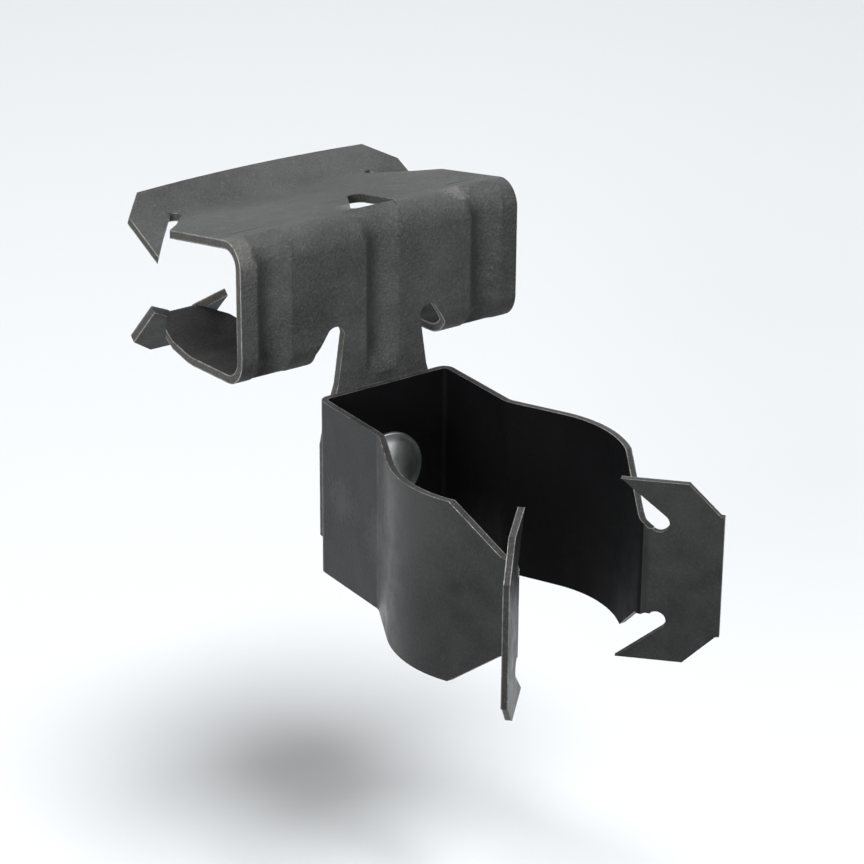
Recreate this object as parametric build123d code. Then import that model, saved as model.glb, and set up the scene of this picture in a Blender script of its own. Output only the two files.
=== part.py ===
from build123d import *
from math import cos, radians, sin, tan
import os

os.makedirs("parts", exist_ok=True)

# Lengths are in millimetres and angles in degrees.
# The conduit's centre line is the Z axis. The conduit clip opens towards -Y,
# the beam clamp's mouth opens towards +Y, and +Z is up.

# Where the two sheets meet and swivel
conduit_radius = 11.7        # outside radius of a 3/4 in thin wall conduit
swivel_offset = 22.7         # from the conduit's centre line to the face between the sheets
swivel_gap = 0.04            # axial play on each side of the conduit clip's back plate
shank_radius = 2.38          # rivet shank
swivel_clearance = 0.05      # radial play of the conduit clip on the shank
leg_hole_clearance = 0.02    # radial gap round the shank in the clamp's leg

# Conduit clip, a spring steel strip
strip_thickness = 0.7
strip_half_height = 9.85
back_half_width = 8.25
back_corner_radius = 1.2
ramp_angle = 26.5            # side walls spread by this much before the cradle
ramp_bend_radius = 2.0
return_angle = 24.3          # arms close in by this much after the cradle
taper_start = 5.3            # forward of the conduit's centre line
taper_end = 10.6
taper_half_height = 5.4
fold_forward = 11.9          # fold between arm and tab, forward of the centre line
fold_radius = 1.0            # on the outer face
neck_half_height = 4.7

# Tab at the end of each arm, measured outwards from its fold
tab_lean = 43.8              # from straight ahead
tab_length = 7.65
tab_nib = 0.35               # step between the tab's edge and its cut corner
tab_edge_half_height = 6.62
tab_corner_start = 4.05
barb_length = 2.75           # barbs reach back past the fold
barb_end_inset = 0.13        # flat on the barb's tip
tab_slot_radius = 1.0        # round end of the slot between barb and arm
tab_slot_out = 1.25
tab_slot_height = 5.4
tab_slot_lead = 0.6          # where the barb leaves the slot's round, as shares of its radius
tab_slot_lead_height = 0.8
barb_tip_slope = 0.3

# Beam clamp, one folded sheet
sheet_thickness = 0.95
clamp_half_width = 17.2
wall_top = 28.94             # sharp corner of wall and top leaf, above the swivel
top_bend_radius = 2.6
top_leaf_slope = 11.9        # falls towards the mouth
valley_depth = 21.6          # from the wall's face to the fold of the upper lip
valley_radius = 3.0
upper_lip_angle = 23.0       # rises from level
upper_lip_length = 4.35
upper_lip_crown = 0.5        # its front edge is curved and stands this far out in the middle
upper_lip_front_half = 14.42
upper_lip_corner_start = 1.0

# Notch and tooth at each end of the upper fold
upper_notch_start = 13.96    # depth where the leaf's side edge ends
upper_notch_knee = 16.0
upper_notch_knee_inset = 2.0
upper_notch_end = 20.35
upper_notch_end_inset = 5.18
upper_notch_radius = 0.8
upper_notch_round_depth = 20.9
upper_notch_round_inset = 4.6
upper_neck_inset = 4.4
upper_tooth_length = 5.7
upper_tooth_knee = 2.4
upper_tooth_knee_inset = 2.53
upper_tooth_root = 0.13

# Lower tongues, one on each side of the leg
tongue_inner = 8.15
tongue_corner = 12.9         # sharp corner of wall and tongue
bottom_bend_radius = 3.2
sag_depth = 10.6             # lowest place of the tongue
sag_height = 12.05
sag_radius = 8.0
crest_depth = 19.55          # fold of the lower lip, underside
crest_height = 13.45
crest_radius = 0.45
lower_lip_angle = 46.5       # falls from level
lower_lip_length = 7.42
lower_lip_front_half = 1.25
lower_lip_corner_start = 4.1
lower_neck_half = 1.5
lower_notch_start = 14.1
lower_notch_knee = 16.4
lower_notch_knee_inset = 0.55
lower_notch_end = 19.1
lower_notch_end_inset = 2.4
lower_tooth_length = 2.78
lower_tooth_root = 0.45

# Leg that hangs from the wall and carries the rivet
slot_top = 17.3              # top of the slots beside the leg
slot_centre = 5.85
slot_radius = 1.1
slot_shoulder = 30.0         # where the slot's flank leaves its round top, from level
slot_foot = 14.6             # where the slot reaches the tongue's full gap
leg_top_half = 4.75
leg_waist_half = 5.55
leg_waist_height = 10.6
leg_spread_half = 6.9
leg_spread_height = 6.5
leg_half = 7.4
leg_half_height = 4.0
leg_bottom = 8.5             # below the swivel
leg_corner = 2.0

# Stiffening grooves pressed into the wall from outside
groove_radius = 2.0
groove_axis_out = 0.75       # groove centre line outside the wall's face
shoulder_radius = 0.7        # rounds the groove's edges into the wall
shoulder_rise = 0.012        # the round's crown stands this far outside the wall's face
side_groove_inset = 4.0      # from the sheet's side edge to the middle of a side groove
centre_groove_foot = 14.4    # where its lower end starts to grow shallow
centre_foot_run = 3.4
side_groove_turn = 45.0      # the same for the side grooves, round the bottom bend
side_foot_turn = 32.0
upper_sections = 4           # over the top bend
lower_sections = 3
back_root = 0.1              # a groove's raised back starts this deep in the sheet
centre_end_width = 1.55      # width at a groove's upper end, as a share
centre_end_run = 0.3         # past the top bend, along the leaf
side_end_width = 1.3
side_end_run = 2.2
groove_end_depth = 0.03

# Hole through the top leaf beside the top bend: three rounded corners
hole_near_left = (-0.4, 4.35)
hole_near_left_radius = 0.6
hole_far = (3.35, 10.0)
hole_far_radius = 0.95
hole_near_right = (3.95, 3.95)
hole_near_right_radius = 0.3

# Rivet
head_radius = 4.2
head_rim = 0.5
dome_radius = 3.5
head_height = 1.8
tail_radius = 3.4
tail_height = 1.4
tail_rim = 0.4
tail_end_radius = 2.04

cut_margin = 1.0             # cutters run this far past the sheet


# Unit vector in a section plane, and its left-hand normal
def heading(angle):
    return Vector(cos(radians(angle)), sin(radians(angle)))


def left_of(direction):
    return Vector(-direction.Y, direction.X)


# Length between a fold's sharp corner and the start of its bend
def bend_setback(radius, turn):
    return radius * tan(radians(abs(turn)) / 2)


# Edges of one face of a folded sheet: straight runs joined by bends.
# The radii belong to the face through the corners, and offset moves the face to the left.
def folded_line(corners, radii, offset):
    points = [Vector(*corner) for corner in corners]
    edges = []
    first = (points[1] - points[0]).normalized()
    start = points[0] + left_of(first) * offset
    for index, radius in enumerate(radii):
        corner = points[index + 1]
        before = (corner - points[index]).normalized()
        after = (points[index + 2] - corner).normalized()
        turn = before.X * after.Y - before.Y * after.X
        side = 1 if turn > 0 else -1
        setback = bend_setback(radius, before.get_angle(after))
        centre = corner - before * setback + left_of(before) * side * radius
        reach = radius - side * offset
        to_corner = (corner - centre).normalized()
        bend_start = centre - left_of(before) * side * reach
        bend_end = centre - left_of(after) * side * reach
        if (bend_start - start).length > 1e-6:
            edges.append(Edge.make_line(start, bend_start))
        edges.append(Edge.make_three_point_arc(bend_start, centre + to_corner * reach, bend_end))
        start = bend_end
    last = (points[-1] - points[-2]).normalized()
    finish = points[-1] + left_of(last) * offset
    if (finish - start).length > 1e-6:
        edges.append(Edge.make_line(start, finish))
    return edges


# Closed section of a folded sheet, the sheet lying to the left of its corners
def folded_section(corners, radii, thickness):
    near = folded_line(corners, radii, 0)
    far = folded_line(corners, radii, thickness)
    caps = [
        Edge.make_line(near[0] @ 0, far[0] @ 0),
        Edge.make_line(near[-1] @ 1, far[-1] @ 1),
    ]
    return make_face(near + far + caps)


# Flat face from the right half of a symmetric outline. With a crown, the run
# between the last points of the two halves is an arc that rises by it.
def symmetric_face(points, crown=0):
    mirrored = [(-x, y) for x, y in reversed(points)]
    if crown == 0:
        return make_face(Polyline(*points, *mirrored, close=True))
    sides = Polyline(*mirrored, *points)
    arc = ThreePointArc(points[-1], (0, points[-1][1] + crown), mirrored[0])
    return make_face(sides.edges() + arc.edges())


def round_bar(radius, start, finish):
    axis = Vector(*finish) - Vector(*start)
    return extrude(Plane(origin=start, z_dir=axis) * Circle(radius), axis.length)


# Corners of the strip's outer face, from the right tab's fold round the back
def strip_corners():
    outer_radius = conduit_radius + strip_thickness
    half_turn = (ramp_angle + return_angle) / 2
    cradle_distance = outer_radius / cos(radians(half_turn))
    cradle = heading((ramp_angle - return_angle) / 2) * cradle_distance
    ramp = heading(90 + ramp_angle)
    closing = heading(90 - return_angle)
    back_y = swivel_offset - swivel_gap
    ramp_start = cradle + ramp * ((cradle.X - back_half_width) / -ramp.X)
    fold = cradle - closing * ((cradle.Y + fold_forward) / closing.Y)
    return fold, cradle, ramp_start, Vector(back_half_width, back_y)


def tab_turn():
    return tab_lean + return_angle


# Tab with its barbs, lying in its own plane beyond the fold
def tab_plate(fold):
    start = bend_setback(fold_radius, tab_turn())
    slot_low = tab_slot_height - tab_slot_radius
    slot_out = tab_slot_out + tab_slot_radius
    lead = (
        tab_slot_out + tab_slot_radius * tab_slot_lead,
        tab_slot_height + tab_slot_radius * tab_slot_lead_height,
    )
    upper = [
        (start, neck_half_height),
        (tab_slot_out, slot_low),
        (slot_out, tab_slot_height),
        lead,
        (-barb_length + barb_end_inset, strip_half_height - barb_end_inset * barb_tip_slope),
        (-barb_length, strip_half_height),
        (tab_corner_start, strip_half_height),
        (tab_length - tab_nib, tab_edge_half_height),
        (tab_length, tab_edge_half_height),
    ]
    lower = [(s, -z) for s, z in reversed(upper)]
    outward = Vector(sin(radians(tab_lean)), -cos(radians(tab_lean)), 0)
    plane = Plane(origin=fold, x_dir=outward, z_dir=outward.cross(Vector(0, 0, 1)))
    outline = make_face(Polyline(*upper, *lower, close=True))
    slots = [Pos(tab_slot_out, side * tab_slot_height) * Circle(tab_slot_radius) for side in (1, -1)]
    return extrude(plane * (outline - slots), strip_thickness)


# Side view of the strip: full height round the conduit, then tapering to the fold
def strip_side_view():
    back_y = swivel_offset + cut_margin
    fold_end = fold_forward + bend_setback(fold_radius, tab_turn()) * cos(radians(tab_lean))
    half = [
        (back_y, strip_half_height),
        (-taper_start, strip_half_height),
        (-taper_end, taper_half_height),
        (-fold_forward, (taper_half_height + neck_half_height) / 2),
        (-fold_end, neck_half_height),
        (-fold_end - 2 * cut_margin, neck_half_height),
    ]
    lower = [(y, -z) for y, z in reversed(half)]
    outline = make_face(Polyline(*half, *lower, close=True))
    return extrude(Plane.YZ * outline, 2 * conduit_radius, both=True)


def make_conduit_clip():
    fold, cradle, ramp_start, back = strip_corners()
    outward = Vector(sin(radians(tab_lean)), -cos(radians(tab_lean)))
    tab_start = fold + outward * bend_setback(fold_radius, tab_turn())
    right = [tab_start, fold, cradle, ramp_start, back]
    left = [Vector(-point.X, point.Y) for point in reversed(right)]
    corners = [(point.X, point.Y) for point in right + left]
    arm_radii = [fold_radius, conduit_radius + strip_thickness, ramp_bend_radius, back_corner_radius]
    section = folded_section(corners, arm_radii + arm_radii[::-1], strip_thickness)
    strip = extrude(section, strip_half_height, both=True) & strip_side_view()
    tab = tab_plate(fold)
    clip = strip + tab + mirror(tab, about=Plane.YZ)
    hole_radius = shank_radius + swivel_clearance
    hole = round_bar(
        hole_radius,
        (0, swivel_offset + cut_margin, 0),
        (0, swivel_offset - strip_thickness - 2 * cut_margin, 0),
    )
    return clip - hole


# Corners of the clamp's outer face, from the upper lip round the wall to the lower lip
def clamp_corners():
    leaf_drop = valley_depth * tan(radians(top_leaf_slope))
    valley = Vector(valley_depth, wall_top - leaf_drop)
    crest = Vector(crest_depth, crest_height)
    upper_start = bend_setback(valley_radius, top_leaf_slope + upper_lip_angle)
    upper_end = valley + heading(upper_lip_angle) * upper_start
    lower_start = lower_bend_setback()
    lower_end = crest + heading(-lower_lip_angle) * lower_start
    return [
        upper_end,
        valley,
        Vector(0, wall_top),
        Vector(0, tongue_corner),
        Vector(sag_depth, sag_height),
        crest,
        lower_end,
    ]


def lower_bend_setback():
    rise = Vector(crest_depth - sag_depth, crest_height - sag_height)
    return bend_setback(crest_radius, rise.get_angle(heading(-lower_lip_angle)))


def clamp_shell():
    corners = [(corner.X, corner.Y) for corner in clamp_corners()]
    radii = [valley_radius, top_bend_radius, bottom_bend_radius, sag_radius, crest_radius]
    section = folded_section(corners, radii, sheet_thickness)
    return extrude(Plane.YZ * section, clamp_half_width, both=True)


# Cutter in plan view for one end of the upper fold
def upper_notch():
    out = clamp_half_width + cut_margin
    neck = clamp_half_width - upper_neck_inset
    far = valley_depth + 3 * cut_margin
    outline = make_face(Polyline(
        (out, upper_notch_start),
        (clamp_half_width, upper_notch_start),
        (clamp_half_width - upper_notch_knee_inset, upper_notch_knee),
        (clamp_half_width - upper_notch_end_inset, upper_notch_end),
        (clamp_half_width - upper_notch_round_inset, upper_notch_round_depth),
        (neck, upper_notch_round_depth + upper_notch_radius),
        (neck, far),
        (out, far),
        close=True,
    ))
    round_end = Pos(clamp_half_width - upper_notch_round_inset, upper_notch_round_depth)
    outline += round_end * Circle(upper_notch_radius)
    return extrude(Plane.XY.offset(slot_top) * outline, wall_top)


# Upper lip with a backward tooth at each end, in its own plane
def upper_lip():
    start = bend_setback(valley_radius, top_leaf_slope + upper_lip_angle)
    neck = clamp_half_width - upper_neck_inset
    half = [
        (neck, start),
        (neck, -upper_tooth_root),
        (clamp_half_width - upper_tooth_knee_inset, -upper_tooth_knee),
        (clamp_half_width, -upper_tooth_length),
        (clamp_half_width, upper_lip_corner_start),
        (upper_lip_front_half, upper_lip_length),
    ]
    valley = clamp_corners()[1]
    rise = heading(upper_lip_angle)
    plane = Plane(origin=(0, valley.X, valley.Y), x_dir=(1, 0, 0), z_dir=(0, -rise.Y, rise.X))
    return extrude(plane * symmetric_face(half, upper_lip_crown), -sheet_thickness)


# Cutter in plan view for one side of a lower tongue's fold
def lower_notch():
    half = tongue_half()
    out = half + cut_margin
    far = crest_depth + 3 * cut_margin
    outline = make_face(Polyline(
        (out, lower_notch_start),
        (half, lower_notch_start),
        (half - lower_notch_knee_inset, lower_notch_knee),
        (half - lower_notch_end_inset, lower_notch_end),
        (lower_neck_half, crest_depth),
        (lower_neck_half, far),
        (out, far),
        close=True,
    ))
    return extrude(outline, slot_top)


# Lower lip with a tooth on each side, in its own plane
def lower_lip():
    half = tongue_half()
    start = lower_bend_setback()
    points = [
        (lower_neck_half, start),
        (lower_neck_half, -lower_tooth_root),
        (half, -lower_tooth_length),
        (half, lower_lip_corner_start),
        (lower_lip_front_half, lower_lip_length),
    ]
    fall = heading(-lower_lip_angle)
    plane = Plane(
        origin=(0, crest_depth, crest_height), x_dir=(1, 0, 0), z_dir=(0, -fall.Y, fall.X)
    )
    return extrude(plane * symmetric_face(points), sheet_thickness)


def tongue_half():
    return (clamp_half_width - tongue_inner) / 2


def tongue_centre():
    return (clamp_half_width + tongue_inner) / 2


# Window in front view that frees the leg from the tongues
def leg_window():
    arc_side = (
        slot_centre + slot_radius * cos(radians(slot_shoulder)),
        slot_top - slot_radius + slot_radius * sin(radians(slot_shoulder)),
    )
    half = [
        (tongue_inner, -cut_margin),
        (tongue_inner, slot_foot),
        arc_side,
        (slot_centre, slot_top),
    ]
    rounds = [Pos(side * slot_centre, slot_top - slot_radius) * Circle(slot_radius) for side in (1, -1)]
    outline = symmetric_face(half) + rounds
    depth = crest_depth + lower_lip_length
    return extrude(Plane.XZ.offset(cut_margin) * outline, -depth - cut_margin)


# Leg below the wall, cut from the same sheet
def leg_plate():
    half = [
        (leg_half - leg_corner, -leg_bottom),
        (leg_half, -leg_bottom + leg_corner),
        (leg_half, leg_half_height),
        (leg_spread_half, leg_spread_height),
        (leg_waist_half, leg_waist_height),
        (leg_top_half, slot_top - slot_radius),
        (leg_top_half, slot_top + cut_margin),
    ]
    rounds = [Pos(side * slot_centre, slot_top - slot_radius) * Circle(slot_radius) for side in (1, -1)]
    bridge = Pos(0, slot_top - slot_radius / 2) * Rectangle(2 * slot_centre, slot_radius)
    outline = symmetric_face(half) + (bridge - rounds)
    return extrude(Plane.XZ * outline, -sheet_thickness)


def top_bend_setback():
    return bend_setback(top_bend_radius, 90 + top_leaf_slope)


# Plane across the sheet: turn degrees round the top bend, or run along the leaf after it.
# Its own y axis points into the sheet.
def bend_plane(turn, run):
    centre = Vector(top_bend_radius, wall_top - top_bend_setback())
    along = heading(90 - turn)
    place = centre + heading(180 - turn) * top_bend_radius + along * run
    return Plane(origin=(0, place.X, place.Y), x_dir=(1, 0, 0), z_dir=(0, along.X, along.Y))


def half_chord(radius, distance):
    return (radius ** 2 - distance ** 2) ** 0.5


# Curve of a groove across the sheet: hollow arc between two rounded shoulders.
# Its y axis points into the sheet from the wall's face.
def groove_curve(width, depth):
    crown = shoulder_radius - shoulder_rise
    reach = groove_radius + shoulder_radius
    crown_x = half_chord(reach, groove_axis_out + crown)
    share = groove_radius / reach
    meet = (crown_x * share, (groove_axis_out + crown) * share - groove_axis_out)
    lean = Vector(meet[0] - crown_x, meet[1] - crown)
    middle = (lean.normalized() + Vector(0, -1)).normalized() * shoulder_radius
    half = [
        (crown_x, -shoulder_rise),
        (crown_x + middle.X, crown + middle.Y),
        meet,
    ]
    right = [(x * width, y * depth) for x, y in half]
    left = [(-x, y) for x, y in reversed(right)]
    bottom = (0, groove_depth() * depth)
    return [
        ThreePointArc(*right),
        ThreePointArc(right[-1], bottom, left[0]),
        ThreePointArc(*left),
    ]


def groove_depth():
    return groove_radius - groove_axis_out


# Section of the space that a groove takes, open to the outside
def groove_face(width=1, depth=1):
    curve = groove_curve(width, depth)
    right = curve[0] @ 0
    left = curve[-1] @ 1
    lid = Polyline(left, (left.X, -cut_margin), (right.X, -cut_margin), right)
    return make_face([edge for arc in curve for edge in arc.edges()] + lid.edges())


# Section of a groove's raised back, which starts inside the sheet
def back_face(width=1, depth=1):
    root = sheet_thickness - back_root
    half = half_chord(groove_radius + sheet_thickness, groove_axis_out + root) * width
    top = root + (groove_depth() + back_root) * depth
    bowl = ThreePointArc((-half, root), (0, top), (half, root))
    lid = Polyline((half, root), (half, root / 2), (-half, root / 2), (-half, root))
    return make_face(bowl.edges() + lid.edges())


# End of a groove, which grows wide and shallow from plane to plane
def groove_end(section, planes, end_width):
    faces = []
    for index, plane in enumerate(planes):
        share = index / (len(planes) - 1)
        width = 1 + (end_width - 1) * share
        depth = 1 - (1 - groove_end_depth) * share ** 2
        faces.append(plane * section(width, depth))
    return loft(faces, ruled=True)


# Pieces of a groove: its straight part, its bend, its lower end and its end over the top bend
def groove_pieces(section, bends_below, end_width, end_run):
    upper = [index / (upper_sections - 1) for index in range(upper_sections)]
    lower = [index / (lower_sections - 1) for index in range(lower_sections)]
    leaf_turn = 90 + top_leaf_slope
    foot = bottom_bend_top() if bends_below else centre_groove_foot
    straight = wall_plane(foot) * section()
    pieces = [extrude(straight, wall_top - top_bend_setback() - foot)]
    if bends_below:
        axis = Axis((0, bottom_bend_radius, foot), (1, 0, 0))
        pieces.append(revolve(straight, axis, revolution_arc=side_groove_turn))
        planes = [bottom_plane(side_groove_turn + side_foot_turn * share) for share in lower]
    else:
        planes = [wall_plane(foot - centre_foot_run * share) for share in lower]
    pieces.append(groove_end(section, planes, 1))
    planes = [bend_plane(leaf_turn * share, end_run * share) for share in upper]
    pieces.append(groove_end(section, planes, end_width))
    return pieces


# Height where the wall's face runs into the bottom bend
def bottom_bend_top():
    tongue = clamp_corners()[4] - Vector(0, tongue_corner)
    full_turn = Vector(0, -1).get_angle(tongue)
    return tongue_corner + bend_setback(bottom_bend_radius, full_turn)


# Level plane across the wall; its own y axis points into the sheet
def wall_plane(height):
    return Plane(origin=(0, 0, height), x_dir=(1, 0, 0), z_dir=(0, 0, 1))


# The same, turned round the bottom bend
def bottom_plane(turn):
    centre = Vector(bottom_bend_radius, bottom_bend_top())
    out = heading(180 + turn)
    place = centre + out * bottom_bend_radius
    return Plane(origin=(0, place.X, place.Y), x_dir=(1, 0, 0), z_dir=(0, out.Y, -out.X))


# Three-cornered hole in the top leaf with rounded corners
def leaf_hole():
    corners = [
        (hole_near_left, hole_near_left_radius),
        (hole_far, hole_far_radius),
        (hole_near_right, hole_near_right_radius),
    ]
    discs = [Pos(*place) * Circle(radius) for place, radius in corners]
    outline = make_hull([edge for disc in discs for edge in disc.edges()])
    return extrude(Plane.XY.offset(slot_top + valley_radius) * outline, wall_top)


def make_flange_clip():
    shell = clamp_shell()
    notch = upper_notch()
    shell -= [notch, mirror(notch, about=Plane.YZ)]
    low_notch = lower_notch()
    for side in (1, -1):
        place = Pos(side * tongue_centre(), 0, 0)
        shell -= [place * low_notch, place * mirror(low_notch, about=Plane.YZ)]
    shell -= leg_window()
    clip = shell + leg_plate() + upper_lip()
    for side in (1, -1):
        clip += Pos(side * tongue_centre(), 0, 0) * lower_lip()
    side_groove_x = clamp_half_width - side_groove_inset
    grooves = [
        (0, False, centre_end_width, centre_end_run),
        (side_groove_x, True, side_end_width, side_end_run),
        (-side_groove_x, True, side_end_width, side_end_run),
    ]
    for x, *shape in grooves:
        for back in groove_pieces(back_face, *shape):
            clip += Pos(x, 0, 0) * back
        for groove in groove_pieces(groove_face, *shape):
            clip -= Pos(x, 0, 0) * groove
    clip -= leaf_hole()
    hole_radius = shank_radius + leg_hole_clearance
    clip -= round_bar(hole_radius, (0, -cut_margin, 0), (0, sheet_thickness + cut_margin, 0))
    return Pos(0, swivel_offset, 0) * clip


# Rivet turned about its own axis with the head up, then laid along the swivel axis
def make_rivet():
    seat = strip_thickness + 2 * swivel_gap
    back = -sheet_thickness
    rim_top = seat + head_rim
    top = seat + head_height
    tail_end = back - tail_height
    line = Polyline(
        (0, top),
        (0, tail_end),
        (tail_end_radius, tail_end),
        (tail_radius, back - tail_rim),
        (tail_radius, back),
        (shank_radius, back),
        (shank_radius, seat),
        (head_radius, seat),
        (head_radius, rim_top),
        (dome_radius, rim_top),
    )
    dome_rise = top - rim_top
    ball_radius = (dome_radius ** 2 + dome_rise ** 2) / (2 * dome_rise)
    dome_middle = (dome_radius / 2, top - ball_radius + half_chord(ball_radius, dome_radius / 2))
    dome = ThreePointArc((dome_radius, rim_top), dome_middle, (0, top))
    profile = make_face(line.edges() + dome.edges())
    rivet = revolve(Plane.XZ * profile, Axis.Z)
    return Pos(0, swivel_offset, 0) * Rot(90, 0, 0) * rivet


export_step(make_flange_clip(), "parts/flange_clip.step")
export_step(make_conduit_clip(), "parts/conduit_clip.step")
export_step(make_rivet(), "parts/rivet.step")
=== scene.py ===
import bpy
import bmesh
import math
from mathutils import Matrix, Vector
from mathutils.bvhtree import BVHTree
from mathutils.geometry import area_tri


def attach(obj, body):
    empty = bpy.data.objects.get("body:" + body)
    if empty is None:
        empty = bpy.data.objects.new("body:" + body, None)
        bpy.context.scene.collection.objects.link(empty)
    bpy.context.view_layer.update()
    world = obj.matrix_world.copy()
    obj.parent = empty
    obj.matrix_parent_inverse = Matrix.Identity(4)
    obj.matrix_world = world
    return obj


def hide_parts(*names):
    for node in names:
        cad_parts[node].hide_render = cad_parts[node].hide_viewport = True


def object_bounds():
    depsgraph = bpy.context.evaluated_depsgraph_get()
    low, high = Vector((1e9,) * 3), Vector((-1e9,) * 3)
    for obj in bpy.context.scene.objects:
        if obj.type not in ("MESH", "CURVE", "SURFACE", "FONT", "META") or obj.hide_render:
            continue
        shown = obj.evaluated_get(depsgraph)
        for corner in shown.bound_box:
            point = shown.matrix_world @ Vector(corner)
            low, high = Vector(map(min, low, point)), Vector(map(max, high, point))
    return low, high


# Beam clamp with a conduit clip that swivels on a rivet. Metres throughout.

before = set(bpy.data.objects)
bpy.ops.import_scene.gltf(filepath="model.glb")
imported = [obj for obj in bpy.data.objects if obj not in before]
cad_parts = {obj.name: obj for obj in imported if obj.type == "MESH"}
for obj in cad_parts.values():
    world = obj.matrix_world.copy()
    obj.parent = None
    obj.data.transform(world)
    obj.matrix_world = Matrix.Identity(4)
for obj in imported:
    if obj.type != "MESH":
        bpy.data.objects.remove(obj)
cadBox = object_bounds()
print("frame loaded")


def newGroup(name, inputs, outputs):
    group = bpy.data.node_groups.new(name, "ShaderNodeTree")
    for label, default in inputs:
        socket = group.interface.new_socket(name=label, in_out="INPUT", socket_type="NodeSocketFloat")
        socket.default_value = default
    for label in outputs:
        group.interface.new_socket(name=label, in_out="OUTPUT", socket_type="NodeSocketFloat")
    start = group.nodes.new("NodeGroupInput")
    end = group.nodes.new("NodeGroupOutput")
    return group, start, end


def addNoise(tree, coordinates, detail, roughness):
    noise = tree.nodes.new("ShaderNodeTexNoise")
    noise.inputs["Detail"].default_value = detail
    noise.inputs["Roughness"].default_value = roughness
    tree.links.new(coordinates, noise.inputs["Vector"])
    return noise


def addRange(tree, value, low, high):
    mapRange = tree.nodes.new("ShaderNodeMapRange")
    mapRange.inputs["From Min"].default_value = low
    mapRange.inputs["From Max"].default_value = high
    tree.links.new(value, mapRange.inputs["Value"])
    return mapRange.outputs["Result"]


def addMath(tree, operation, first, second):
    node = tree.nodes.new("ShaderNodeMath")
    node.operation = operation
    for index, value in enumerate((first, second)):
        if isinstance(value, (int, float)):
            node.inputs[index].default_value = value
        else:
            tree.links.new(value, node.inputs[index])
    return node.outputs["Value"]


# Crystal grain, soft blotches and rubbed flecks of a phosphate coat
def buildCoatGroup():
    group, start, end = newGroup(
        "phosphateCoat",
        [
            ("Blotch Scale", 260.0), ("Grain Scale", 5000.0),
            ("Speck Scale", 4500.0), ("Cloud Scale", 90.0),
        ],
        ["Blotch", "Grain", "Speck", "Cloud"],
    )
    place = group.nodes.new("ShaderNodeTexCoord").outputs["Object"]
    noises = [
        # name, detail, roughness, lowest, highest
        ("Blotch", 5.0, 0.62, 0.36, 0.64),
        ("Grain", 3.0, 0.7, 0.38, 0.62),
        ("Speck", 2.0, 0.5, 0.58, 0.70),
        ("Cloud", 2.0, 0.5, 0.35, 0.65),
    ]
    for name, detail, roughness, lowest, highest in noises:
        noise = addNoise(group, place, detail, roughness)
        group.links.new(start.outputs[name + " Scale"], noise.inputs["Scale"])
        group.links.new(addRange(group, noise.outputs["Fac"], lowest, highest), end.inputs[name])
    return group


coatGroup = buildCoatGroup()


patchEdge = {
    "detail": 4.0,
    "roughness": 0.7,
    "scale": 2600.0,
    "spread": 3.0,        # of the raggedness, before the input scales it
    "clear": 1.0,         # share of the radius where the patch has faded out
    "full": 0.25,         # share of the radius where it is full
}


# Ragged patch round one place that lightens or darkens the coat: rubbed spots, stains, painted
# highlights and painted shade
def buildPatchGroup():
    group, start, end = newGroup("coatPatch", [("Radius", 0.002), ("Ragged", 0.5)], ["Mask"])
    group.interface.new_socket(name="Middle", in_out="INPUT", socket_type="NodeSocketVector")
    place = group.nodes.new("ShaderNodeTexCoord").outputs["Object"]
    distance = group.nodes.new("ShaderNodeVectorMath")
    distance.operation = "DISTANCE"
    group.links.new(place, distance.inputs[0])
    group.links.new(start.outputs["Middle"], distance.inputs[1])
    share = addMath(group, "DIVIDE", distance.outputs["Value"], start.outputs["Radius"])
    noise = addNoise(group, place, patchEdge["detail"], patchEdge["roughness"])
    noise.inputs["Scale"].default_value = patchEdge["scale"]
    centred = addMath(group, "SUBTRACT", noise.outputs["Fac"], 0.5)
    ragged = addMath(group, "MULTIPLY", centred, patchEdge["spread"])
    ragged = addMath(group, "MULTIPLY", ragged, start.outputs["Ragged"])
    share = addMath(group, "ADD", share, ragged)
    falloff = addRange(group, share, patchEdge["clear"], patchEdge["full"])
    group.links.new(falloff, end.inputs["Mask"])
    return group


patchGroup = buildPatchGroup()


mixSockets = {"first": 6, "second": 7, "result": 2}  # the colour sockets of a Mix node


def mixColour(tree, factor, first, second):
    mix = tree.nodes.new("ShaderNodeMix")
    mix.data_type = "RGBA"
    tree.links.new(factor, mix.inputs["Factor"])
    for index, value in ((mixSockets["first"], first), (mixSockets["second"], second)):
        if isinstance(value, tuple):
            mix.inputs[index].default_value = (*value, 1.0)
        else:
            tree.links.new(value, mix.inputs[index])
    return mix.outputs[mixSockets["result"]]


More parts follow.
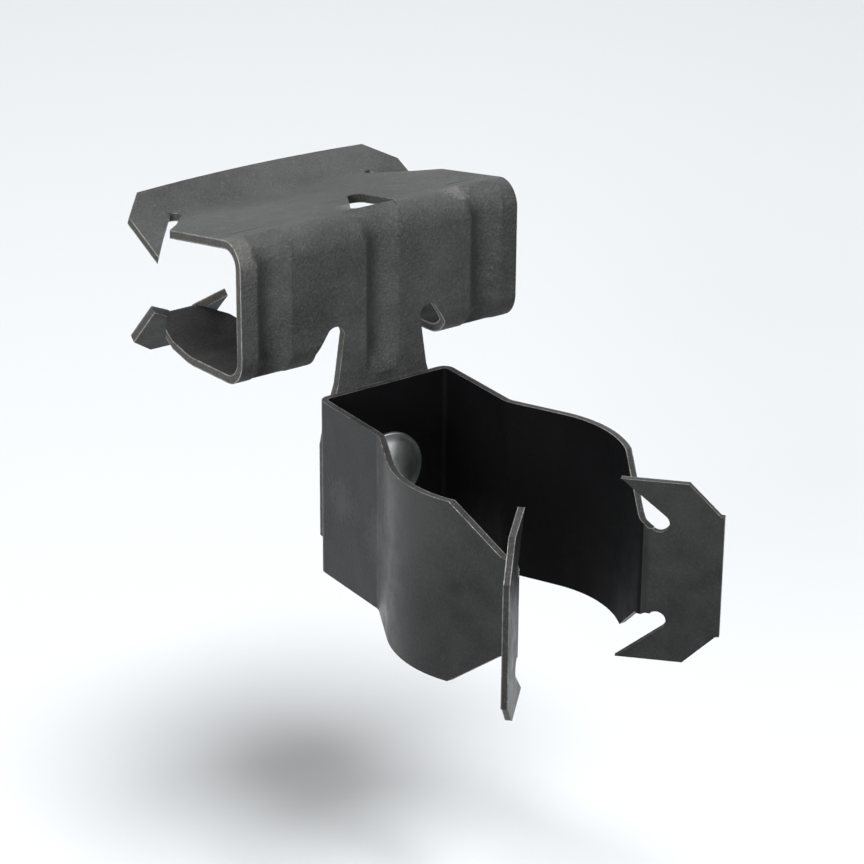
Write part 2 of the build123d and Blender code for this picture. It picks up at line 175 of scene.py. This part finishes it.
# One coated steel finish
def coatedSteel(name, look):
    material = bpy.data.materials.new(name)
    material.use_nodes = True
    tree = material.node_tree
    shader = tree.nodes["Principled BSDF"]
    coat = tree.nodes.new("ShaderNodeGroup")
    coat.node_tree = coatGroup
    coat.inputs["Blotch Scale"].default_value = look["blotchScale"]
    coat.inputs["Grain Scale"].default_value = look["grainScale"]
    coat.inputs["Speck Scale"].default_value = look["speckScale"]
    grain = addMath(tree, "MULTIPLY", coat.outputs["Grain"], look["grainShare"])
    blotch = addMath(tree, "MULTIPLY", coat.outputs["Blotch"], look["blotchShare"])
    cloudShare = 1 - look["grainShare"] - look["blotchShare"]
    cloud = addMath(tree, "MULTIPLY", coat.outputs["Cloud"], cloudShare)
    shade = addMath(tree, "ADD", addMath(tree, "ADD", grain, blotch), cloud)
    colour = mixColour(tree, shade, look["dark"], look["light"])
    for middle, radius, ragged, amount, patchColour in look.get("patches", []):
        patch = tree.nodes.new("ShaderNodeGroup")
        patch.node_tree = patchGroup
        patch.inputs["Middle"].default_value = middle
        patch.inputs["Radius"].default_value = radius
        patch.inputs["Ragged"].default_value = ragged
        mask = addMath(tree, "MULTIPLY", patch.outputs["Mask"], amount)
        colour = mixColour(tree, mask, colour, patchColour)
    speck = addMath(tree, "MULTIPLY", coat.outputs["Speck"], look["speckAmount"])
    colour = mixColour(tree, speck, colour, look["speckColour"])
    tree.links.new(colour, shader.inputs["Base Color"])
    roughness = addMath(tree, "MULTIPLY", coat.outputs["Blotch"], look["roughnessSpread"])
    roughness = addMath(tree, "ADD", roughness, look["roughness"])
    tree.links.new(roughness, shader.inputs["Roughness"])
    shader.inputs["Metallic"].default_value = look["metallic"]
    shader.inputs["Specular IOR Level"].default_value = look["specular"]
    bump = tree.nodes.new("ShaderNodeBump")
    bump.inputs["Strength"].default_value = look["bumpStrength"]
    bump.inputs["Distance"].default_value = look["bumpDepth"]
    tree.links.new(coat.outputs["Grain"], bump.inputs["Height"])
    tree.links.new(bump.outputs["Normal"], shader.inputs["Normal"])
    return material


meshing = {
    "mergeDistance": 1e-7,
    "flatAngle": 0.4,     # degrees; faces that turn less become one
    "skin": 1e-6,         # a ray into the metal starts this far below the surface
    "cutDepth": 1.5,      # sheets; metal behind a cut face is deeper than this
    "cutArea": 0.45,      # sheets squared; a smaller face is no cut edge
    "rimLength": 2.2,     # rounds; a rim next to a shorter edge has no room for its round
    "hardEdge": 50,       # degrees; a smaller turn between two faces is shaded as one surface
}


# Merged copy of a CAD node, its flat faces whole again
def copyOfNode(nodeName):
    bm = bmesh.new()
    bm.from_mesh(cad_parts[nodeName].data)
    bmesh.ops.remove_doubles(bm, verts=bm.verts, dist=meshing["mergeDistance"])
    flat = math.radians(meshing["flatAngle"])
    bmesh.ops.dissolve_limit(bm, angle_limit=flat, verts=bm.verts, edges=bm.edges)
    bm.normal_update()
    return bm


def sharpEdges(bm, angle):
    turn = math.radians(angle)
    return [edge for edge in bm.edges if edge.is_manifold and edge.calc_face_angle(0.0) > turn]


# Faces that join without a sharp edge between them
def smoothRegions(bm, sharp):
    barrier = set(sharp)
    left = set(bm.faces)
    regions = []
    while left:
        region = [left.pop()]
        for face in region:
            for edge in face.edges:
                if edge in barrier:
                    continue
                near = [other for other in edge.link_faces if other in left]
                left.difference_update(near)
                region.extend(near)
        regions.append(region)
    return regions


# True where the metal behind a region is deeper than its sheet, as it is behind a cut edge
def isCut(tree, triangles, region, sheet):
    depth = 0.0
    area = 0.0
    for face in region:
        for corners in triangles[face]:
            middle = sum(corners, Vector()) / 3
            hit = tree.ray_cast(middle - face.normal * meshing["skin"], -face.normal)
            if hit[0] is not None:
                depth += hit[3] * area_tri(*corners)
                area += area_tri(*corners)
    large = area > meshing["cutArea"] * sheet * sheet
    return large and depth > meshing["cutDepth"] * sheet * area


# True for a large region that faces a place in the hollow of the part
def facesHollow(region, hollow, smallest):
    share = 0.0
    area = 0.0
    for face in region:
        area += face.calc_area()
        share += face.calc_area() * face.normal.dot(Vector(hollow) - face.calc_center_median())
    return share > 0 and area > smallest


# Give the cut edges their own finish
def markCutEdges(bm, sharp, sheet, cutIndex):
    tree = BVHTree.FromBMesh(bm)
    triangles = {face: [] for face in bm.faces}
    for loops in bm.calc_loop_triangles():
        triangles[loops[0].face].append([loop.vert.co.copy() for loop in loops])
    for region in smoothRegions(bm, sharp):
        if isCut(tree, triangles, region, sheet):
            for face in region:
                face.material_index = cutIndex


# Edges where a cut face meets one of the sheet's own faces, with room for a round at both ends
def rimEdges(sharp, cutIndex, width):
    rims = []
    for edge in sharp:
        finishes = [face.material_index for face in edge.link_faces]
        shortest = min(near.calc_length() for vert in edge.verts for near in vert.link_edges)
        if finishes.count(cutIndex) == 1 and shortest > meshing["rimLength"] * width:
            rims.append(edge)
    return rims


# Thin light line along both rims of the cut faces, rubbed bare steel and painted edge highlight, flat
# in those faces and inside the piece's box
def rubGlintRims(bm, cutIndex, rubbedGlintIndex, width):
    low = [min(vert.co[axis] for vert in bm.verts) for axis in range(3)]
    high = [max(vert.co[axis] for vert in bm.verts) for axis in range(3)]
    cutFaces = [face for face in bm.faces if face.material_index == cutIndex]
    result = bmesh.ops.inset_region(
        bm, faces=cutFaces, thickness=width, depth=0.0, use_boundary=True,
        use_even_offset=False, use_interpolate=True,
    )
    for face in result["faces"]:
        face.material_index = rubbedGlintIndex
    for vert in bm.verts:
        vert.co = [min(max(vert.co[axis], low[axis]), high[axis]) for axis in range(3)]


# Small round on the edges, with the rubbed finish and painted edge highlight where its index is given
def roundEdges(bm, edges, width, segments, rubbedGlintIndex=None):
    result = bmesh.ops.bevel(
        bm, geom=edges, offset=width, offset_type="OFFSET", affect="EDGES", segments=segments,
        profile=0.5, material=-1, clamp_overlap=True, loop_slide=False,
    )
    if rubbedGlintIndex is not None:
        for face in result["faces"]:
            face.material_index = rubbedGlintIndex


# Turn a dressed copy into the piece that stands for its node
def finishPiece(bm, name, nodeName, body, materials, weighted=True):
    mesh = bpy.data.meshes.new(name)
    for face in bm.faces:
        face.smooth = True
    for edge in bm.edges:
        edge.smooth = edge.calc_face_angle(0.0) < math.radians(meshing["hardEdge"])
    bm.to_mesh(mesh)
    bm.free()
    piece = bpy.data.objects.new(name, mesh)
    bpy.context.collection.objects.link(piece)
    for material in materials:
        mesh.materials.append(material)
    if weighted:
        modifier = piece.modifiers.new("flatFaces", "WEIGHTED_NORMAL")
        modifier.keep_sharp = True
    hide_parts(nodeName)
    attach(piece, body)


beamClamp = {
    "sheet": 0.00095,
    "edgeAngle": 38,
    "edgeRound": 0.00008,
    "roundSegments": 2,
    "rimWidth": 0.00010,
    "hollow": (0.0, 0.034, 0.020),   # a place in the pocket that the inner faces look at
    "innerSmallest": 0.0004,         # square metres; smaller regions keep the outer finish
    "face": {
        "dark": (0.030, 0.0315, 0.031), "light": (0.102, 0.1045, 0.103),
        "blotchScale": 420.0, "blotchShare": 0.27, "grainScale": 4200.0, "grainShare": 0.38,
        "speckScale": 3600.0, "speckAmount": 0.28, "speckColour": (0.17, 0.168, 0.162),
        "roughness": 0.50, "roughnessSpread": 0.16, "metallic": 0.0, "specular": 0.15,
        "bumpStrength": 0.8, "bumpDepth": 0.00008,
        "patches": [
            # middle, radius, ragged, amount, colour
            ((-0.0165, 0.0236, 0.0270), 0.0034, 0.9, 0.40, (0.22, 0.216, 0.207)),
            # rubbed spots on the leaf's crest, lighter also as a painted highlight
            ((-0.0003, 0.0279, 0.0276), 0.0018, 1.0, 0.45, (0.25, 0.245, 0.235)),
            ((0.0110, 0.0249, 0.0283), 0.0020, 1.0, 0.45, (0.25, 0.245, 0.235)),
            # painted shade on the leg just above the clip's top edge
            ((0.0002, 0.0218, 0.0112), 0.0022, 0.4, 0.65, (0.018, 0.018, 0.018)),
        ],
    },
    # painted shade: the pocket's inner faces are darkened for the shade under the top leaf
    "innerShade": {
        "dark": (0.008, 0.008, 0.008), "light": (0.040, 0.040, 0.039),
        "blotchScale": 520.0, "blotchShare": 0.35, "grainScale": 4200.0, "grainShare": 0.4,
        "speckScale": 4800.0, "speckAmount": 0.3, "speckColour": (0.09, 0.088, 0.084),
        "roughness": 0.56, "roughnessSpread": 0.16, "metallic": 0.0, "specular": 0.12,
        "bumpStrength": 0.6, "bumpDepth": 0.00006,
    },
    "cut": {
        "dark": (0.030, 0.030, 0.028), "light": (0.102, 0.100, 0.095),
        "blotchScale": 700.0, "blotchShare": 0.4, "grainScale": 4200.0, "grainShare": 0.4,
        "speckScale": 3600.0, "speckAmount": 0.4, "speckColour": (0.24, 0.23, 0.21),
        "roughness": 0.50, "roughnessSpread": 0.14, "metallic": 0.0, "specular": 0.25,
        "bumpStrength": 0.6, "bumpDepth": 0.00008,
    },
    # rubbed bare steel along the edges, made lighter also as a painted edge highlight
    "rubbedGlint": {
        "dark": (0.025, 0.024, 0.022), "light": (0.42, 0.405, 0.38),
        "blotchScale": 700.0, "blotchShare": 0.6, "grainScale": 3600.0, "grainShare": 0.2,
        "speckScale": 3200.0, "speckAmount": 0.5, "speckColour": (0.55, 0.53, 0.50),
        "roughness": 0.34, "roughnessSpread": 0.14, "metallic": 0.5, "specular": 0.5,
        "bumpStrength": 0.4, "bumpDepth": 0.00006,
    },
}


def buildBeamClamp():
    bm = copyOfNode("flange_clip")
    outer, cut, rubbedGlint, innerShade = range(4)
    for face in bm.faces:
        face.material_index = outer
    sharp = sharpEdges(bm, beamClamp["edgeAngle"])
    # the pocket's inner faces take the painted shade
    for region in smoothRegions(bm, sharp):
        if facesHollow(region, beamClamp["hollow"], beamClamp["innerSmallest"]):
            for face in region:
                face.material_index = innerShade
    markCutEdges(bm, sharp, beamClamp["sheet"], cut)
    rims = rimEdges(sharp, cut, beamClamp["edgeRound"])
    roundEdges(bm, rims, beamClamp["edgeRound"], beamClamp["roundSegments"], rubbedGlint)
    rubGlintRims(bm, cut, rubbedGlint, beamClamp["rimWidth"])
    materials = [
        coatedSteel("clampPhosphate", beamClamp["face"]),
        coatedSteel("clampCutEdge", beamClamp["cut"]),
        coatedSteel("clampRubbedGlintEdge", beamClamp["rubbedGlint"]),
        coatedSteel("clampShadedInner", beamClamp["innerShade"]),
    ]
    finishPiece(bm, "beamClampSheet", "flange_clip", "clamp", materials)


buildBeamClamp()
print("beam clamp dressed")


conduitClip = {
    "sheet": 0.0007,
    "edgeAngle": 38,
    "edgeRound": 0.00009,
    "roundSegments": 2,
    "rimWidth": 0.00008,
    "foldY": -0.0119,                # where the arms end and the tabs begin
    "outside": {
        "dark": (0.006, 0.0068, 0.0066), "light": (0.027, 0.0285, 0.028),
        "blotchScale": 380.0, "blotchShare": 0.3, "grainScale": 4600.0, "grainShare": 0.2,
        "speckScale": 4600.0, "speckAmount": 0.14, "speckColour": (0.075, 0.075, 0.07),
        "roughness": 0.30, "roughnessSpread": 0.16, "metallic": 0.0, "specular": 0.24,
        "bumpStrength": 0.3, "bumpDepth": 0.00003,
        "patches": [
            # lighter over the upper part of the left arm
            ((-0.0122, -0.0005, 0.0070), 0.0095, 0.30, 0.45, (0.062, 0.063, 0.062)),
            ((-0.0079, 0.0182, 0.0000), 0.0030, 0.9, 0.35, (0.075, 0.077, 0.075)),
            ((-0.0085, 0.0103, -0.0018), 0.0042, 0.8, 0.40, (0.075, 0.077, 0.075)),
            ((-0.0108, -0.0061, 0.0008), 0.0013, 0.5, 0.8, (0.004, 0.004, 0.004)),
        ],
    },
    # painted shade: the cradle's inner faces are darkened for the shade inside the arms
    "inside": {
        "dark": (0.0015, 0.0015, 0.0018), "light": (0.0035, 0.0036, 0.0042),
        "blotchScale": 380.0, "blotchShare": 0.3, "grainScale": 4600.0, "grainShare": 0.2,
        "speckScale": 5200.0, "speckAmount": 0.08, "speckColour": (0.03, 0.03, 0.03),
        "roughness": 0.6, "roughnessSpread": 0.1, "metallic": 0.0, "specular": 0.07,
        "bumpStrength": 0.2, "bumpDepth": 0.00003,
    },
    "cut": {
        "dark": (0.009, 0.009, 0.0088), "light": (0.032, 0.032, 0.031),
        "blotchScale": 700.0, "blotchShare": 0.4, "grainScale": 4600.0, "grainShare": 0.4,
        "speckScale": 4200.0, "speckAmount": 0.3, "speckColour": (0.14, 0.135, 0.13),
        "roughness": 0.46, "roughnessSpread": 0.14, "metallic": 0.0, "specular": 0.22,
        "bumpStrength": 0.4, "bumpDepth": 0.00005,
    },
    # rubbed bare steel along the edges, made lighter also as a painted edge highlight
    "rubbedGlint": {
        "dark": (0.012, 0.012, 0.0115), "light": (0.21, 0.204, 0.194),
        "blotchScale": 700.0, "blotchShare": 0.6, "grainScale": 3600.0, "grainShare": 0.2,
        "speckScale": 3200.0, "speckAmount": 0.6, "speckColour": (0.40, 0.385, 0.36),
        "roughness": 0.34, "roughnessSpread": 0.14, "metallic": 0.4, "specular": 0.5,
        "bumpStrength": 0.3, "bumpDepth": 0.00004,
    },
}


# True on the side of the cradle that holds the conduit, where the painted shade goes; the tabs have
# the outer finish
def isInside(face):
    middle = face.calc_center_median()
    facesIn = face.normal.x * middle.x + face.normal.y * middle.y < 0
    return facesIn and middle.y > conduitClip["foldY"]


def buildConduitClip():
    bm = copyOfNode("conduit_clip")
    outside, inside, cut, rubbedGlint = range(4)
    # cradle faces that hold the conduit take the painted shade
    for face in bm.faces:
        face.material_index = inside if isInside(face) else outside
    sharp = sharpEdges(bm, conduitClip["edgeAngle"])
    markCutEdges(bm, sharp, conduitClip["sheet"], cut)
    rims = rimEdges(sharp, cut, conduitClip["edgeRound"])
    roundEdges(bm, rims, conduitClip["edgeRound"], conduitClip["roundSegments"], rubbedGlint)
    rubGlintRims(bm, cut, rubbedGlint, conduitClip["rimWidth"])
    materials = [
        coatedSteel("clipOutside", conduitClip["outside"]),
        coatedSteel("clipShadedInside", conduitClip["inside"]),
        coatedSteel("clipCutEdge", conduitClip["cut"]),
        coatedSteel("clipRubbedGlintEdge", conduitClip["rubbedGlint"]),
    ]
    finishPiece(bm, "conduitClipStrip", "conduit_clip", "clip", materials)


buildConduitClip()
print("conduit clip dressed")


rivetLook = {
    "edgeAngle": 40,
    "edgeRound": 0.00012,
    "roundSegments": 3,
    "zinc": {
        "dark": (0.44, 0.46, 0.45), "light": (0.74, 0.76, 0.75),
        "blotchScale": 600.0, "blotchShare": 0.4, "grainScale": 3200.0, "grainShare": 0.2,
        "speckScale": 4200.0, "speckAmount": 0.0, "speckColour": (0.30, 0.30, 0.28),
        "roughness": 0.34, "roughnessSpread": 0.05, "metallic": 1.0, "specular": 0.5,
        "bumpStrength": 0.01, "bumpDepth": 0.00001,
    },
}


def buildRivet():
    bm = copyOfNode("rivet")
    edges = sharpEdges(bm, rivetLook["edgeAngle"])
    roundEdges(bm, edges, rivetLook["edgeRound"], rivetLook["roundSegments"])
    zinc = coatedSteel("rivetZinc", rivetLook["zinc"])
    finishPiece(bm, "zincRivet", "rivet", "clamp", [zinc], weighted=False)


buildRivet()
print("rivet dressed")


studio = {
    "floorDrop": 0.040,          # below the lowest place of the object
    "floorSize": 3.0,
    "floorColour": (0.78, 0.80, 0.82),
    "floorBounce": (0.25, 0.25, 0.26),
    "worldColour": (0.93, 0.95, 0.97),
    "worldLight": 0.07,
    "lamps": [
        # name, place, size, watts
        ("softTop", (-0.06, -0.14, 0.90), 0.45, 9.0),
        ("softLeft", (-0.66, -0.42, 0.22), 0.35, 4.8),
        ("softBack", (0.30, 0.55, 0.45), 0.50, 1.2),
    ],
    "aim": (0.0, 0.012, 0.006),
}


def plainMaterial(name, colour, roughness):
    material = bpy.data.materials.new(name)
    material.use_nodes = True
    shader = material.node_tree.nodes["Principled BSDF"]
    shader.inputs["Base Color"].default_value = (*colour, 1.0)
    shader.inputs["Roughness"].default_value = roughness
    return material


# Pale to the camera and in reflections, dimmer in the light that it sends back up
def floorMaterial():
    material = plainMaterial("paleFloor", studio["floorColour"], 0.9)
    tree = material.node_tree
    path = tree.nodes.new("ShaderNodeLightPath")
    seen = addMath(tree, "ADD", path.outputs["Is Camera Ray"], path.outputs["Is Glossy Ray"])
    seen = addMath(tree, "ADD", seen, path.outputs["Is Transmission Ray"])
    seen = addMath(tree, "MINIMUM", seen, 1.0)
    colour = mixColour(tree, seen, studio["floorBounce"], studio["floorColour"])
    tree.links.new(colour, tree.nodes["Principled BSDF"].inputs["Base Color"])
    return material


def buildFloor():
    bm = bmesh.new()
    bmesh.ops.create_grid(bm, x_segments=1, y_segments=1, size=studio["floorSize"] / 2)
    height = cadBox[0][2] - studio["floorDrop"]
    bmesh.ops.translate(bm, verts=bm.verts, vec=(0, 0, height))
    mesh = bpy.data.meshes.new("paleFloor")
    bm.to_mesh(mesh)
    bm.free()
    floor = bpy.data.objects.new("paleFloor", mesh)
    bpy.context.collection.objects.link(floor)
    mesh.materials.append(floorMaterial())


def aimAt(item, target):
    direction = Vector(target) - item.location
    item.rotation_euler = direction.to_track_quat("-Z", "Y").to_euler()


def buildLamps():
    for name, place, size, watts in studio["lamps"]:
        lamp = bpy.data.lights.new(name, "AREA")
        lamp.shape = "DISK"
        lamp.size = size
        lamp.energy = watts
        item = bpy.data.objects.new(name, lamp)
        item.location = place
        bpy.context.collection.objects.link(item)
        aimAt(item, studio["aim"])


# Soft light on the object, and a plain pale background where the camera or a reflection looks past it
def buildWorld():
    world = bpy.data.worlds.new("paleWorld")
    world.use_nodes = True
    bpy.context.scene.world = world
    tree = world.node_tree
    light = tree.nodes["Background"]
    light.inputs["Color"].default_value = (*studio["worldColour"], 1.0)
    light.inputs["Strength"].default_value = studio["worldLight"]
    seen = tree.nodes.new("ShaderNodeBackground")
    seen.inputs["Color"].default_value = (*studio["worldColour"], 1.0)
    seen.inputs["Strength"].default_value = 1.0
    path = tree.nodes.new("ShaderNodeLightPath")
    direct = addMath(tree, "ADD", path.outputs["Is Camera Ray"], path.outputs["Is Glossy Ray"])
    direct = addMath(tree, "ADD", direct, path.outputs["Is Transmission Ray"])
    pick = tree.nodes.new("ShaderNodeMixShader")
    tree.links.new(addMath(tree, "MINIMUM", direct, 1.0), pick.inputs["Fac"])
    tree.links.new(light.outputs["Background"], pick.inputs[1])
    tree.links.new(seen.outputs["Background"], pick.inputs[2])
    tree.links.new(pick.outputs["Shader"], tree.nodes["World Output"].inputs["Surface"])


photoCamera = {
    "azimuth": -35.0,
    "elevation": 24.25,
    "roll": 0.436,
    "focalPixels": 3053.0,
    "framePixels": 864.0,
    "place": (-0.16491, -0.22191, 0.13687),
}


def buildCamera():
    lens = bpy.data.cameras.new("photoCamera")
    lens.sensor_width = 36.0
    lens.lens = lens.sensor_width * photoCamera["focalPixels"] / photoCamera["framePixels"]
    lens.clip_start = 0.01
    azimuth = math.radians(photoCamera["azimuth"])
    elevation = math.radians(photoCamera["elevation"])
    back = Vector((
        math.sin(azimuth) * math.cos(elevation),
        -math.cos(azimuth) * math.cos(elevation),
        math.sin(elevation),
    ))
    right = Vector((math.cos(azimuth), math.sin(azimuth), 0.0))
    turn = Matrix.Rotation(math.radians(photoCamera["roll"]), 3, back)
    right = turn @ right
    up = back.cross(right)
    camera = bpy.data.objects.new("photoCamera", lens)
    axes = Matrix((right, up, back)).transposed().to_4x4()
    camera.matrix_world = Matrix.Translation(photoCamera["place"]) @ axes
    bpy.context.collection.objects.link(camera)
    bpy.context.scene.camera = camera


buildFloor()
buildLamps()
buildWorld()
buildCamera()
bpy.context.scene.view_settings.view_transform = "Standard"
print("studio ready")
